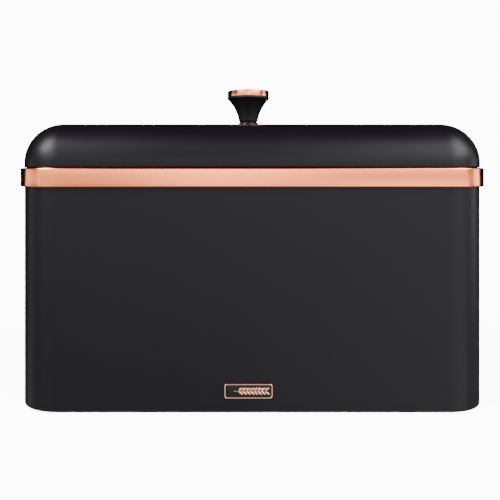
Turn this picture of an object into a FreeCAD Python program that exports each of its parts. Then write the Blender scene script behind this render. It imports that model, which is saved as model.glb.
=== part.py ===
"""Bread bin with a lift-off domed lid, as a parametric FreeCAD document.

A strip of sheet steel is bent into an upright box with rounded corners and closed at the bottom by a
pressed pan, which is held in a hem. Its rolled top rim is stiffened by a wire and covered by a
roll-formed trim band. The lid is one deep pressing with a hemmed edge, and a ring welded inside it drops
into the mouth of the bin. A flared knob with a metal cap is screwed on from inside the lid.

Units are millimetres. X is the width, Y the depth with the front at -Y, and Z points up. The origin is on
the worktop, under the middle of the bin.
"""

import FreeCAD, Part
import math
import os
import re

import Sketcher

V = FreeCAD.Vector

# ---------------------------------------------------------------------------------------------------
# Driving dimensions: name, value in millimetres
# ---------------------------------------------------------------------------------------------------

SIZES = [
    # the bin as a whole
    ("bin_width", 340.0),  # across the outside of the side walls
    ("bin_depth", 210.0),  # across the outside of the front and back walls
    ("corner_radius", 30.0),  # upright corners, on the outside
    ("rim_height", 174.5),  # from the bottom of the hem to the top of the trim band
    ("sheet_metal", 0.7),  # steel of the walls, pan, lid and lid ring
    ("fit_gap", 0.1),  # left between pieces that are pushed together
    # rolled rim and bottom hem of the wall
    ("bead_radius", 1.5),
    ("bead_mouth", 0.25),  # left between the end of the roll and the wall
    ("hem_height", 5.0),
    ("hem_edge_radius", 1.1),
    ("seam_gap", 0.05),  # each side of the pan's skirt in the hem, and around the rim wire
    ("seam_groove_width", 0.5),  # butt joint down the middle of the back
    ("seam_groove_depth", 0.3),
    ("seam_strap_width", 9.0),  # welded behind that joint
    # pan
    ("panel_margin", 34.0),  # from the wall to the raised middle of the pan
    ("panel_rise", 1.5),
    ("panel_corner_radius", 14.0),
    # trim band
    ("band_height", 13.9),
    ("band_sheet", 0.6),
    ("bead_gap", 0.1),  # between the rolled rim and the inside of the band
    ("band_edge_radius", 1.1),
    ("band_lip", 0.5),  # how far the top flange reaches over the wall
    ("band_joint", 0.5),  # gap between the ends of the band, at the back
    ("joiner_length", 40.0),
    ("joiner_sheet", 1.0),
    ("rivet_radius", 1.3),
    ("rivet_head_radius", 2.3),
    ("rivet_head_height", 0.7),
    ("rivet_inset", 0.15),  # of its flush end, below the band's face
    ("rivet_spacing", 13.0),
    # lid
    ("lid_height", 32.6),
    ("lid_overhang", 0.35),  # beyond the walls, all round
    ("lid_gap", 0.3),  # over the band
    ("lid_shoulder_radius", 29.3),
    ("lid_hem_width", 1.8),
    ("lid_hem_height", 6.0),
    ("lid_hem_radius", 0.85),
    ("ring_depth", 12.5),  # of the ring below the lid's edge
    ("ring_lead_in", 0.45),
    ("boss_base_radius", 25.0),
    ("boss_top_radius", 13.0),
    ("boss_height", 2.4),
    # knob
    ("collar_height", 5.0),
    ("collar_top_radius", 7.0),
    ("collar_base_radius", 9.4),
    ("collar_edge", 0.7),
    ("collar_curve_radius", 7.0),
    ("grip_height", 21.1),
    ("grip_neck_radius", 8.05),
    ("grip_neck_edge", 0.5),
    ("grip_rim_radius", 18.05),
    ("grip_rim_height", 1.4),
    ("grip_rim_edge", 0.5),
    ("grip_flare_radius", 35.0),
    ("recess_radius", 15.0),
    ("recess_depth", 1.6),
    ("cap_height", 5.8),
    ("cap_radius", 17.8),
    ("cap_crown", 0.5),
    ("cap_edge", 0.5),
    # fixing of the knob
    ("screw_radius", 2.5),
    ("screw_length", 16.0),
    ("screw_head_radius", 4.75),
    ("screw_head_height", 3.1),
    ("screw_head_edge", 1.1),
    ("drive_length", 5.0),
    ("drive_width", 1.1),
    ("drive_depth", 1.7),
    ("washer_radius", 7.5),
    ("washer_thickness", 1.0),
    ("clearance_hole_radius", 2.7),
    ("insert_radius", 3.5),
    ("insert_length", 10.0),
    ("insert_bore_gap", 0.05),
    # badge
    ("badge_width", 34.4),
    ("badge_height", 10.4),
    ("badge_corner_radius", 1.9),
    ("badge_border", 0.9),
    ("badge_centre_height", 15.8),  # above the bottom of the hem
    ("badge_offset", -3.5),  # of its centre from the middle of the front, towards +X
    ("badge_thickness", 1.3),
    ("badge_tray_depth", 0.6),
    ("enamel_thickness", 0.3),
    ("pad_thickness", 0.3),
    ("pad_inset", 0.8),
    ("stem_length", 24.0),
    ("stem_width", 0.5),
    ("ear_thickness", 0.25),
    ("grain_length", 4.4),
    ("grain_width", 1.4),
    ("grain_tilt", 36.0),  # degrees from the stem
    ("grain_pitch", 2.7),
    # feet
    ("foot_lift", 1.5),  # of the hem above the worktop
    ("foot_radius", 8.0),
    ("foot_inset", 19.0),  # from the walls to a foot's centre
    ("foot_edge_radius", 1.2),
    ("foot_draft", 0.5),
]

GRAIN_PAIRS = 8

doc = FreeCAD.newDocument("bread_bin")
sizes = doc.addObject("Spreadsheet::Sheet", "sizes")
for row, (name, value) in enumerate(SIZES, start=1):
    sizes.set(f"A{row}", name)
    sizes.set(f"B{row}", str(value))
    sizes.setAlias(f"B{row}", name)
doc.recompute()

ALIASES = {name for name, _ in SIZES}

# Places and sizes that several pieces share, written in terms of the driving dimensions
LID_BASE = "(foot_lift + rim_height + lid_gap)"
PAN_TOP = "(hem_height + seam_gap + sheet_metal)"
BOSS_TOP = "(lid_height + boss_height)"
GRIP_BASE = "(lid_height + boss_height + collar_height)"
SHOULDER = "min(lid_shoulder_radius; corner_radius + lid_overhang - 1; lid_height - lid_hem_radius - 1)"
RIM_GROW = "(bead_radius - sheet_metal)"
BAND_OUT = "(2 * bead_radius - sheet_metal + bead_gap + band_sheet)"
RIM_LEVEL = "(rim_height - band_sheet - fit_gap - bead_radius)"
JOINER_HEIGHT = "(band_height - 2 * band_sheet - 2 * bead_radius - 4 * fit_gap)"


# ---------------------------------------------------------------------------------------------------
# Helpers
# ---------------------------------------------------------------------------------------------------


def formula(text):
    """Turns names of driving dimensions into references to their cells."""
    return re.sub(r"[a-z_]+", lambda m: f"sizes.{m[0]}" if m[0] in ALIASES else m[0], text)


def size(text):
    """The present value of a formula."""
    return float(sizes.evalExpression(formula(text)))


def bind(item, **formulas):
    """Binds properties of an object; two underscores stand for a dot."""
    for name, text in formulas.items():
        item.setExpression(name.replace("__", "."), formula(text))
    return item


def new_body(name, height="0"):
    """An empty body whose own origin stands at a height above the worktop."""
    body = doc.addObject("PartDesign::Body", name)
    body.Label = name
    bind(body, Placement__Base__z=height)
    return body


def plane(body, role):
    return next(o for o in body.Origin.OriginFeatures if o.Role == role)


def new_sketch(body, name, role="XY_Plane", offset="0"):
    """A sketch on one of the body's own origin planes, moved along that plane's normal."""
    sketch = body.newObject("Sketcher::SketchObject", name)
    sketch.AttachmentSupport = [(plane(body, role), "")]
    sketch.MapMode = "FlatFace"
    bind(sketch, AttachmentOffset__Base__z=offset)
    return sketch


def dimension(sketch, name, text, *constraint):
    """Adds a dimension and binds it to a formula."""
    index = sketch.addConstraint(Sketcher.Constraint(*constraint, size(text)))
    sketch.renameConstraint(index, name)
    sketch.setExpression(f"Constraints.{name}", formula(text))


def rounded_rectangle(sketch, width, depth, radius, label="outer", lift="0"):
    """A rectangle with round corners, centred on the upright axis and lifted along the second axis."""
    x, y, r, up = size(width) / 2, size(depth) / 2, size(radius), size(lift)
    first = sketch.GeometryCount

    def corner(cx, cy, quarter):
        circle = Part.Circle(V(cx, cy + up, 0), V(0, 0, 1), r)
        return Part.ArcOfCircle(circle, quarter * math.pi / 2, (quarter + 1) * math.pi / 2)

    def side(x0, y0, x1, y1):
        return Part.LineSegment(V(x0, y0 + up, 0), V(x1, y1 + up, 0))

    edges = [
        side(r - x, -y, x - r, -y), corner(x - r, r - y, 3),
        side(x, r - y, x, y - r), corner(x - r, y - r, 0),
        side(x - r, y, r - x, y), corner(r - x, y - r, 1),
        side(-x, y - r, -x, r - y), corner(r - x, r - y, 2),
    ]
    for edge in edges:
        sketch.addGeometry(edge, False)
    link = Sketcher.Constraint
    for i in range(8):
        sketch.addConstraint(link("Tangent", first + i, 2, first + (i + 1) % 8, 1))
    sketch.addConstraint(link("Symmetric", first, 1, first, 2, -2))
    sketch.addConstraint(link("Horizontal", first + 4))
    sketch.addConstraint(link("Vertical", first + 2))
    sketch.addConstraint(link("Vertical", first + 6))
    for i in (3, 5, 7):
        sketch.addConstraint(link("Equal", first + 1, first + i))
    dimension(sketch, f"{label}_width", width, "DistanceX", first + 6, 1, first + 2, 2)
    dimension(sketch, f"{label}_depth", depth, "DistanceY", first, 1, first + 4, 2)
    dimension(sketch, f"{label}_corner", radius, "Radius", first + 1)
    dimension(sketch, f"{label}_base", f"{lift} - ({depth}) / 2", "DistanceY", -1, 1, first, 1)


def wall_outline(sketch, grow, label="outer"):
    """The plan of the bin's walls, grown by a distance all round."""
    rounded_rectangle(
        sketch,
        f"bin_width + 2 * ({grow})",
        f"bin_depth + 2 * ({grow})",
        f"corner_radius + {grow}",
        label,
    )


def trace(sketch, corners):
    """A closed outline. A corner is (x, y), or (x, y, radius, turn) where an arc leads on from it,
    with turn 1 for an arc that bends to the left and -1 for one that bends to the right."""
    spots = [V(size(c[0]), size(c[1]), 0) for c in corners]
    ends = []
    for i, corner in enumerate(corners):
        start, stop = spots[i], spots[(i + 1) % len(spots)]
        if len(corner) == 2:
            sketch.addGeometry(Part.LineSegment(start, stop), False)
            ends.append((1, 2))
            continue
        radius, turn = size(corner[2]), corner[3]
        chord = stop - start
        left = V(-chord.y, chord.x, 0).normalize()
        reach = math.sqrt(radius**2 - (chord.Length / 2) ** 2)
        centre = (start + stop) / 2 + left * (reach * turn)
        angles = [math.atan2(p.y - centre.y, p.x - centre.x) for p in (start, stop)][::turn]
        sketch.addGeometry(Part.ArcOfCircle(Part.Circle(centre, V(0, 0, 1), radius), *angles), False)
        ends.append((1, 2)[::turn])
    link = Sketcher.Constraint
    for i in range(len(corners)):
        after = (i + 1) % len(corners)
        sketch.addConstraint(link("Coincident", i, ends[i][1], after, ends[after][0]))
    for i, corner in enumerate(corners):
        dimension(sketch, f"x{i}", corner[0], "DistanceX", -1, 1, i, ends[i][0])
        dimension(sketch, f"y{i}", corner[1], "DistanceY", -1, 1, i, ends[i][0])
        if len(corner) == 4:
            dimension(sketch, f"radius{i}", corner[2], "Radius", i)


def pad(body, sketch, length, name="pad"):
    feature = body.newObject("PartDesign::Pad", name)
    feature.Profile = sketch
    bind(feature, Length=length)
    doc.recompute()
    return feature


def pocket(body, sketch, depth, name="pocket"):
    """Cuts a sketch into the body, along the sketch's own normal."""
    before = body.Shape.Volume
    feature = body.newObject("PartDesign::Pocket", name)
    feature.Profile = sketch
    feature.Reversed = True
    bind(feature, Length=depth)
    doc.recompute()
    if body.Shape.Volume >= before - 1e-6:
        raise RuntimeError(f"{body.Label}: {name} cut nothing")
    return feature


def revolve(body, corners, name="turned", kind="PartDesign::Revolution"):
    """Turns an outline in the XZ plane about the upright axis, to add or to cut."""
    sketch = new_sketch(body, f"{name}_outline", "XZ_Plane")
    trace(sketch, corners)
    feature = body.newObject(kind, name)
    feature.Profile = sketch
    feature.ReferenceAxis = (sketch, ["V_Axis"])
    feature.Angle = 360
    doc.recompute()
    return feature


def beyond_walls(point):
    """Distance of a point outside the outline of the walls, seen in plan; negative inside it."""
    corner = size("corner_radius")
    x = abs(point.x) - size("bin_width / 2") + corner
    y = abs(point.y) - size("bin_depth / 2") + corner
    return math.hypot(max(x, 0), max(y, 0)) + min(max(x, y), 0) - corner


def level_edges(shape, height, beyond="-bin_depth"):
    """Names of the edges that lie flat at a height, further out from the walls than a distance."""
    names = []
    for i, edge in enumerate(shape.Edges, start=1):
        box = edge.BoundBox
        middle = edge.valueAt((edge.FirstParameter + edge.LastParameter) / 2)
        flat = max(abs(box.ZMin - size(height)), abs(box.ZMax - size(height))) < 1e-4
        if flat and beyond_walls(middle) > size(beyond):
            names.append(f"Edge{i}")
    return names


def fillet(body, edges, radius, name="rounding"):
    base = body.Tip
    feature = body.newObject("PartDesign::Fillet", name)
    feature.Base = (base, edges)
    bind(feature, Radius=radius)
    doc.recompute()
    return feature


def round_section(sketch, x, y, radius):
    index = sketch.addGeometry(Part.Circle(V(size(x), size(y), 0), V(0, 0, 1), size(radius)), False)
    dimension(sketch, "across", x, "DistanceX", -1, 1, index, 3)
    dimension(sketch, "up", y, "DistanceY", -1, 1, index, 3)
    dimension(sketch, "thick", radius, "Radius", index)


def along_rim(body, kind, name, draw):
    """Runs a section round the rim, to add or to cut. The section is drawn where the rim crosses the
    YZ plane at the front."""
    path = new_sketch(body, f"{name}_path", "XY_Plane", RIM_LEVEL)
    wall_outline(path, RIM_GROW)
    section = new_sketch(body, f"{name}_section", "YZ_Plane")
    draw(section)
    feature = body.newObject(kind, name)
    feature.Profile = section
    feature.Spine = path
    doc.recompute()
    return feature


# ---------------------------------------------------------------------------------------------------
# The bin
# ---------------------------------------------------------------------------------------------------


def make_body_shell():
    """Walls bent from one strip, with a rolled rim, a bottom hem and a butt joint at the back."""
    body = new_body("body_shell", "foot_lift")
    walls = new_sketch(body, "walls_plan")
    wall_outline(walls, "0", "outer")
    wall_outline(walls, "-sheet_metal", "inner")
    pad(body, walls, RIM_LEVEL, "walls")

    hem = new_sketch(body, "hem_plan")
    wall_outline(hem, "-sheet_metal / 2", "outer")
    wall_outline(hem, "-(3 * sheet_metal + 2 * seam_gap)", "inner")
    pad(body, hem, "hem_height", "hem")
    slot = new_sketch(body, "hem_slot_plan", offset="sheet_metal")
    wall_outline(slot, "-sheet_metal", "outer")
    wall_outline(slot, "-(2 * sheet_metal + 2 * seam_gap)", "inner")
    pocket(body, slot, "hem_height - sheet_metal", "hem_slot")
    fillet(body, level_edges(body.Shape, "foot_lift", "-sheet_metal"), "hem_edge_radius")

    strap = new_sketch(body, "seam_strap_plan", offset=f"{PAN_TOP} + fit_gap")
    trace(strap, [
        ("-seam_strap_width / 2", "bin_depth / 2 - 2 * sheet_metal"),
        ("seam_strap_width / 2", "bin_depth / 2 - 2 * sheet_metal"),
        ("seam_strap_width / 2", "bin_depth / 2 - sheet_metal / 2"),
        ("-seam_strap_width / 2", "bin_depth / 2 - sheet_metal / 2"),
    ])
    pad(body, strap, f"rim_height - 1.4 * ring_depth - {PAN_TOP}", "seam_strap")
    joint = new_sketch(body, "seam_groove_plan")
    trace(joint, [
        ("-seam_groove_width / 2", "bin_depth / 2 - seam_groove_depth"),
        ("seam_groove_width / 2", "bin_depth / 2 - seam_groove_depth"),
        ("seam_groove_width / 2", "bin_depth / 2 + sheet_metal"),
        ("-seam_groove_width / 2", "bin_depth / 2 + sheet_metal"),
    ])
    pocket(body, joint, f"{RIM_LEVEL} - bead_radius", "seam_groove")

    centre = (f"-(bin_depth / 2 + {RIM_GROW})", RIM_LEVEL)
    face = "-(bin_depth / 2)"

    def bead(section):
        round_section(section, *centre, "bead_radius")

    def bore(section):
        round_section(section, *centre, "bead_radius - sheet_metal")

    def mouth(section):
        trace(section, [
            (f"{face} - bead_mouth", f"{RIM_LEVEL} - bead_radius - fit_gap"),
            (face, f"{RIM_LEVEL} - bead_radius - fit_gap"),
            (face, RIM_LEVEL),
            (f"{face} - bead_mouth", RIM_LEVEL),
        ])

    along_rim(body, "PartDesign::AdditivePipe", "bead", bead)
    along_rim(body, "PartDesign::SubtractivePipe", "bead_bore", bore)
    along_rim(body, "PartDesign::SubtractivePipe", "bead_mouth", mouth)
    return body


def make_base_pan():
    """Pressed pan: its skirt stands in the hem, and its middle is raised to stiffen it."""
    body = new_body("base_pan", "foot_lift")
    outline = new_sketch(body, "pan_plan", offset="sheet_metal + seam_gap")
    wall_outline(outline, "-(sheet_metal + seam_gap)")
    pad(body, outline, "hem_height", "block")
    panel = new_sketch(body, "panel_plan", offset=PAN_TOP)
    across = ("bin_width - 2 * panel_margin", "bin_depth - 2 * panel_margin", "panel_corner_radius")
    rounded_rectangle(panel, *across)
    pad(body, panel, "panel_rise", "panel")
    under = new_sketch(body, "underside_plan", offset="sheet_metal + seam_gap")
    wall_outline(under, "-(2 * sheet_metal + seam_gap)")
    pocket(body, under, "hem_height - sheet_metal", "underside")
    hollow = new_sketch(body, "panel_hollow_plan", offset="hem_height + seam_gap")
    inset = [f"{text} - 2 * sheet_metal" for text in across[:2]]
    rounded_rectangle(hollow, *inset, "panel_corner_radius - sheet_metal")
    pocket(body, hollow, "panel_rise", "panel_hollow")
    fillet(body, level_edges(body.Shape, f"foot_lift + {PAN_TOP} + panel_rise"), "sheet_metal")
    skirt_edges = level_edges(body.Shape, f"foot_lift + {PAN_TOP}", "-panel_margin / 2")
    fillet(body, skirt_edges, "1.5 * sheet_metal", "skirt_bend")
    return body


def make_rim_wire():
    """Stiffening wire inside the rolled rim."""
    body = new_body("rim_wire", "foot_lift")

    def wire(section):
        centre = (f"-(bin_depth / 2 + {RIM_GROW})", RIM_LEVEL)
        round_section(section, *centre, "bead_radius - sheet_metal - seam_gap")

    along_rim(body, "PartDesign::AdditivePipe", "wire", wire)
    return body


def make_trim_band():
    """Roll-formed channel that wraps the rim; its two ends meet in the middle of the back."""
    body = new_body("trim_band", "foot_lift + rim_height - band_height")
    outline = new_sketch(body, "band_plan")
    wall_outline(outline, BAND_OUT)
    pad(body, outline, "band_height", "block")
    for level in ("foot_lift + rim_height - band_height", "foot_lift + rim_height"):
        fillet(body, level_edges(body.Shape, level), "band_edge_radius")
    mouth = new_sketch(body, "mouth_plan")
    wall_outline(mouth, "-band_lip")
    pocket(body, mouth, "band_height", "mouth")
    skirt = new_sketch(body, "lower_flange_plan")
    wall_outline(skirt, "fit_gap")
    pocket(body, skirt, "band_sheet", "lower_opening")
    channel = new_sketch(body, "channel_plan", offset="band_sheet")
    wall_outline(channel, f"{BAND_OUT} - band_sheet")
    pocket(body, channel, "band_height - 2 * band_sheet", "channel")
    joint = new_sketch(body, "joint_plan")
    trace(joint, [
        ("-band_joint / 2", f"bin_depth / 2 - {BAND_OUT}"),
        ("band_joint / 2", f"bin_depth / 2 - {BAND_OUT}"),
        ("band_joint / 2", f"bin_depth / 2 + 2 * {BAND_OUT}"),
        ("-band_joint / 2", f"bin_depth / 2 + 2 * {BAND_OUT}"),
    ])
    pocket(body, joint, "band_height", "joint")
    drill_rivet_holes(body)
    return body


def rivet_places():
    """The joiner's four rivets: places along X in terms of the driving dimensions."""
    return [f"{side} * rivet_spacing" for side in ("-1", "-0.5", "0.5", "1")]


def joiner_middle():
    """Height of the joiner's middle above the bottom of the band."""
    return f"band_sheet + fit_gap + {JOINER_HEIGHT} / 2"


def drill_rivet_holes(body):
    """Holes through the back of the band or the joiner, drilled from outside."""
    holes = new_sketch(body, "rivet_holes_plan", "XZ_Plane", f"-(bin_depth / 2 + {BAND_OUT})")
    for i, place in enumerate(rivet_places()):
        spot = V(size(place), size(joiner_middle()), 0)
        index = holes.addGeometry(Part.Circle(spot, V(0, 0, 1), size("rivet_radius")), False)
        dimension(holes, f"across{i}", place, "DistanceX", -1, 1, index, 3)
        dimension(holes, f"up{i}", joiner_middle(), "DistanceY", -1, 1, index, 3)
        dimension(holes, f"radius{i}", "rivet_radius", "Radius", index)
    pocket(body, holes, f"{BAND_OUT} - fit_gap", "rivet_holes")


def make_band_joiner():
    """Plate inside the channel that ties the ends of the band together."""
    body = new_body("band_joiner", "foot_lift + rim_height - band_height")
    outer = f"bin_depth / 2 + {BAND_OUT} - band_sheet - seam_gap"
    outline = new_sketch(body, "joiner_outline", "XZ_Plane", f"-({outer})")
    rounded_rectangle(outline, "joiner_length", JOINER_HEIGHT, "1.5", "outer", joiner_middle())
    pad(body, outline, "joiner_sheet", "plate")
    drill_rivet_holes(body)
    return body


def make_band_rivets():
    """Four solid rivets, flush outside and headed inside the channel."""
    face = f"bin_depth / 2 + {BAND_OUT}"
    inner = f"({face} - band_sheet - seam_gap - joiner_sheet)"
    shank_length = size(f"{face} - rivet_inset - {inner}")
    up = size(f"foot_lift + rim_height - band_height + {joiner_middle()}")
    towards_back = V(0, 1, 0)
    solids = []
    for place in rivet_places():
        spot = V(size(place), size(inner), up)
        head_height = size("rivet_head_height")
        shank = Part.makeCylinder(size("rivet_radius - seam_gap"), shank_length, spot, towards_back)
        head = Part.makeCylinder(
            size("rivet_head_radius"), head_height, spot - towards_back * head_height, towards_back
        )
        solids.append(shank.fuse(head).removeSplitter())
    rivets = doc.addObject("Part::Feature", "band_rivets")
    rivets.Label = "band_rivets"
    rivets.Shape = Part.makeCompound(solids)
    return rivets


# ---------------------------------------------------------------------------------------------------
# Badge on the front: a cast tray, black enamel in it, and a raised ear of wheat
# ---------------------------------------------------------------------------------------------------

BADGE_BACK = "(bin_depth / 2 + pad_thickness)"
TRAY_FLOOR = "(bin_depth / 2 + pad_thickness + badge_thickness - badge_tray_depth)"


def badge_body(name):
    """An empty body that stands where the badge is, a little to one side of the middle."""
    return bind(new_body(name, "foot_lift"), Placement__Base__x="badge_offset")


def make_badge_pad():
    body = badge_body("badge_pad")
    outline = new_sketch(body, "pad_outline", "XZ_Plane", "bin_depth / 2")
    rounded_rectangle(
        outline, "badge_width - 2 * pad_inset", "badge_height - 2 * pad_inset",
        "badge_corner_radius - pad_inset", "outer", "badge_centre_height",
    )
    pad(body, outline, "pad_thickness", "pad")
    return body


def badge_inside(sketch, inset):
    rounded_rectangle(
        sketch, f"badge_width - 2 * ({inset})", f"badge_height - 2 * ({inset})",
        f"badge_corner_radius - ({inset})", "outer", "badge_centre_height",
    )


def make_badge_frame():
    body = badge_body("badge_frame")
    outline = new_sketch(body, "frame_outline", "XZ_Plane", BADGE_BACK)
    badge_inside(outline, "0")
    pad(body, outline, "badge_thickness", "block")
    tray = new_sketch(body, "tray_outline", "XZ_Plane", TRAY_FLOOR)
    badge_inside(tray, "badge_border")
    pocket(body, tray, "badge_tray_depth", "tray")
    front = -size(f"{BADGE_BACK} + badge_thickness")
    edges = [
        f"Edge{i}" for i, edge in enumerate(body.Shape.Edges, start=1)
        if abs(edge.BoundBox.YMax - front) < 1e-4
    ]
    fillet(body, edges, "badge_border / 4")
    return body


def make_badge_enamel():
    body = badge_body("badge_enamel")
    outline = new_sketch(body, "enamel_outline", "XZ_Plane", TRAY_FLOOR)
    badge_inside(outline, "badge_border + seam_gap")
    pad(body, outline, "enamel_thickness", "enamel")
    return body


def leaf(sketch, x, z, side):
    """Corners of one grain: two arcs that meet in points, leaning away from the stem."""
    along = "grain_length * cos(grain_tilt * 1deg)"
    up = f"{side} * grain_length * sin(grain_tilt * 1deg)"
    curve = "(grain_length ^ 2 / (4 * grain_width) + grain_width / 4)"
    trace(sketch, [(x, z, curve, 1), (f"{x} + {along}", f"{z} + {up}", curve, 1)])


def make_badge_wheat():
    """Ear of wheat lying on its side: a stem, and pairs of grains in a row along it."""
    body = badge_body("badge_wheat")
    level = f"{TRAY_FLOOR} + enamel_thickness"
    start = "(-stem_length / 2)"
    stem = new_sketch(body, "stem_outline", "XZ_Plane", level)
    trace(stem, [
        (start, "badge_centre_height - stem_width / 2"),
        ("stem_length / 2", "badge_centre_height - stem_width / 2"),
        ("stem_length / 2", "badge_centre_height + stem_width / 2"),
        (start, "badge_centre_height + stem_width / 2"),
    ])
    pad(body, stem, "ear_thickness", "stem")
    first = f"(stem_length / 2 - stem_width - {GRAIN_PAIRS - 1} * grain_pitch)"
    grains = []
    for side, name in (("1", "upper"), ("-1", "lower")):
        outline = new_sketch(body, f"{name}_grain_outline", "XZ_Plane", level)
        leaf(outline, first, "badge_centre_height", side)
        grains.append(pad(body, outline, "ear_thickness", f"{name}_grain"))
    row = body.newObject("PartDesign::LinearPattern", "grain_row")
    row.Originals = grains
    row.Direction = (stem, ["H_Axis"])
    row.Occurrences = GRAIN_PAIRS
    bind(row, Length=f"{GRAIN_PAIRS - 1} * grain_pitch")
    body.Tip = row
    doc.recompute()
    return body


# ---------------------------------------------------------------------------------------------------
# Feet
# ---------------------------------------------------------------------------------------------------


def make_foot(name, side_x, side_y):
    """Self-adhesive rubber foot, from the worktop up to the underside of the pan."""
    body = new_body(name)
    bind(
        body,
        Placement__Base__x=f"{side_x} * (bin_width / 2 - foot_inset)",
        Placement__Base__y=f"{side_y} * (bin_depth / 2 - foot_inset)",
    )
    top = "foot_lift + hem_height + seam_gap"
    revolve(body, [
        ("0", "0"),
        ("foot_radius - foot_draft - foot_edge_radius", "0", "foot_edge_radius", 1),
        ("foot_radius - foot_draft", "foot_edge_radius"),
        ("foot_radius", top),
        ("0", top),
    ])
    return body


# ---------------------------------------------------------------------------------------------------
# The lid
# ---------------------------------------------------------------------------------------------------

BOSS_CURVE = "((boss_base_radius - boss_top_radius) ^ 2 / (4 * boss_height) + boss_height / 4)"
BOSS_MIDDLE = "(boss_base_radius + boss_top_radius) / 2"


def boss_outline(level, base):
    """A low boss with an S-shaped flank, filled down to a base level."""
    return [
        ("0", base),
        ("boss_base_radius", base),
        ("boss_base_radius", level, BOSS_CURVE, -1),
        (BOSS_MIDDLE, f"{level} + boss_height / 2", BOSS_CURVE, 1),
        ("boss_top_radius", f"{level} + boss_height"),
        ("0", f"{level} + boss_height"),
    ]


def make_lid_shell():
    """Deep pressing with round shoulders, a hemmed edge and a boss for the knob."""
    body = new_body("lid_shell", LID_BASE)
    outline = new_sketch(body, "lid_plan")
    wall_outline(outline, "lid_overhang")
    pad(body, outline, "lid_height", "block")
    shoulder = fillet(body, level_edges(body.Shape, f"{LID_BASE} + lid_height"), SHOULDER, "shoulder")
    hollow = body.newObject("PartDesign::Thickness", "hollow")
    open_face = next(
        f"Face{i}" for i, face in enumerate(body.Shape.Faces, start=1)
        if face.BoundBox.ZMax < size(LID_BASE) + 1e-4
    )
    hollow.Base = (shoulder, [open_face])
    hollow.Reversed = True
    hollow.Join = 0
    bind(hollow, Value="sheet_metal")
    doc.recompute()

    hem = new_sketch(body, "lid_hem_plan")
    wall_outline(hem, "lid_overhang - sheet_metal / 2", "outer")
    wall_outline(hem, "lid_overhang - lid_hem_width", "inner")
    pad(body, hem, "lid_hem_height", "lid_hem")
    fillet(body, level_edges(body.Shape, LID_BASE), "lid_hem_radius")

    revolve(body, boss_outline("lid_height", "lid_height - sheet_metal / 2"), "boss")
    revolve(
        body,
        boss_outline("(lid_height - sheet_metal)", "lid_height - 2 * sheet_metal"),
        "boss_hollow",
        "PartDesign::Groove",
    )
    hole = new_sketch(body, "screw_hole_plan", offset="lid_height - sheet_metal")
    round_section(hole, "0", "0", "clearance_hole_radius")
    pocket(body, hole, "boss_height + 2 * sheet_metal", "screw_hole")
    return body


def make_lid_ring():
    """Ring of strip welded inside the lid's hem, which drops into the mouth of the bin."""
    body = new_body("lid_locating_ring", f"{LID_BASE} - ring_depth")
    plan = new_sketch(body, "ring_plan")
    outer = "lid_overhang - lid_hem_width - seam_gap"
    wall_outline(plan, outer, "outer")
    wall_outline(plan, f"{outer} - sheet_metal", "inner")
    ring = pad(body, plan, "ring_depth + lid_hem_height", "ring")
    low_edges = level_edges(body.Shape, f"{LID_BASE} - ring_depth", f"{outer} - sheet_metal / 2")
    chamfer = body.newObject("PartDesign::Chamfer", "lead_in")
    chamfer.Base = (ring, low_edges)
    bind(chamfer, Size="min(ring_lead_in; sheet_metal * 0.7)")
    doc.recompute()
    return body


# ---------------------------------------------------------------------------------------------------
# The knob and its fixing, stacked on the lid's boss
# ---------------------------------------------------------------------------------------------------


def make_knob_collar():
    """Domed metal ring between the lid and the grip."""
    body = new_body("knob_collar", f"{LID_BASE} + {BOSS_TOP}")
    revolve(body, [
        ("clearance_hole_radius", "0"),
        ("collar_base_radius", "0"),
        ("collar_base_radius", "collar_edge", "collar_curve_radius", 1),
        ("collar_top_radius", "collar_height"),
        ("clearance_hole_radius", "collar_height"),
    ])
    return body


def make_knob_grip():
    """Moulded grip that flares from a narrow neck to a wide rim."""
    body = new_body("knob_grip", f"{LID_BASE} + {GRIP_BASE}")
    bore = "insert_radius + seam_gap"
    revolve(body, [
        (bore, "0"),
        ("grip_neck_radius - grip_neck_edge", "0"),
        ("grip_neck_radius", "grip_neck_edge", "grip_flare_radius", -1),
        ("grip_rim_radius", "grip_height - grip_rim_height"),
        ("grip_rim_radius", "grip_height - grip_rim_edge"),
        ("grip_rim_radius - grip_rim_edge", "grip_height"),
        ("recess_radius", "grip_height"),
        ("recess_radius", "grip_height - recess_depth"),
        ("0", "grip_height - recess_depth"),
        ("0", "insert_length + 1"),
        (bore, "insert_length + 1"),
    ])
    return body


def make_knob_cap():
    """Turned metal disc with a spigot that is pressed into the top of the grip."""
    body = new_body("knob_cap", f"{LID_BASE} + {GRIP_BASE} + grip_height")
    crown_radius = "((cap_radius - cap_edge) ^ 2 / (2 * cap_crown) + cap_crown / 2)"
    revolve(body, [
        ("0", "seam_gap - recess_depth"),
        ("recess_radius - seam_gap", "seam_gap - recess_depth"),
        ("recess_radius - seam_gap", "0"),
        ("cap_radius", "0"),
        ("cap_radius", "cap_height - cap_crown - cap_edge", "cap_edge", 1),
        ("cap_radius - cap_edge", "cap_height - cap_crown", crown_radius, 1),
        ("0", "cap_height"),
    ])
    return body


def make_knob_insert():
    """Brass threaded insert moulded into the grip; its thread is left plain."""
    body = new_body("knob_insert", f"{LID_BASE} + {GRIP_BASE}")
    bore = "screw_radius + insert_bore_gap"
    revolve(body, [
        (bore, "2 * seam_gap"),
        ("insert_radius", "2 * seam_gap"),
        ("insert_radius", "insert_length"),
        (bore, "insert_length"),
    ])
    return body


def make_knob_washer():
    body = new_body("knob_washer", f"{LID_BASE} + {BOSS_TOP} - sheet_metal - washer_thickness")
    revolve(body, [
        ("clearance_hole_radius", "0"),
        ("washer_radius", "0"),
        ("washer_radius", "washer_thickness"),
        ("clearance_hole_radius", "washer_thickness"),
    ])
    return body


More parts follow.
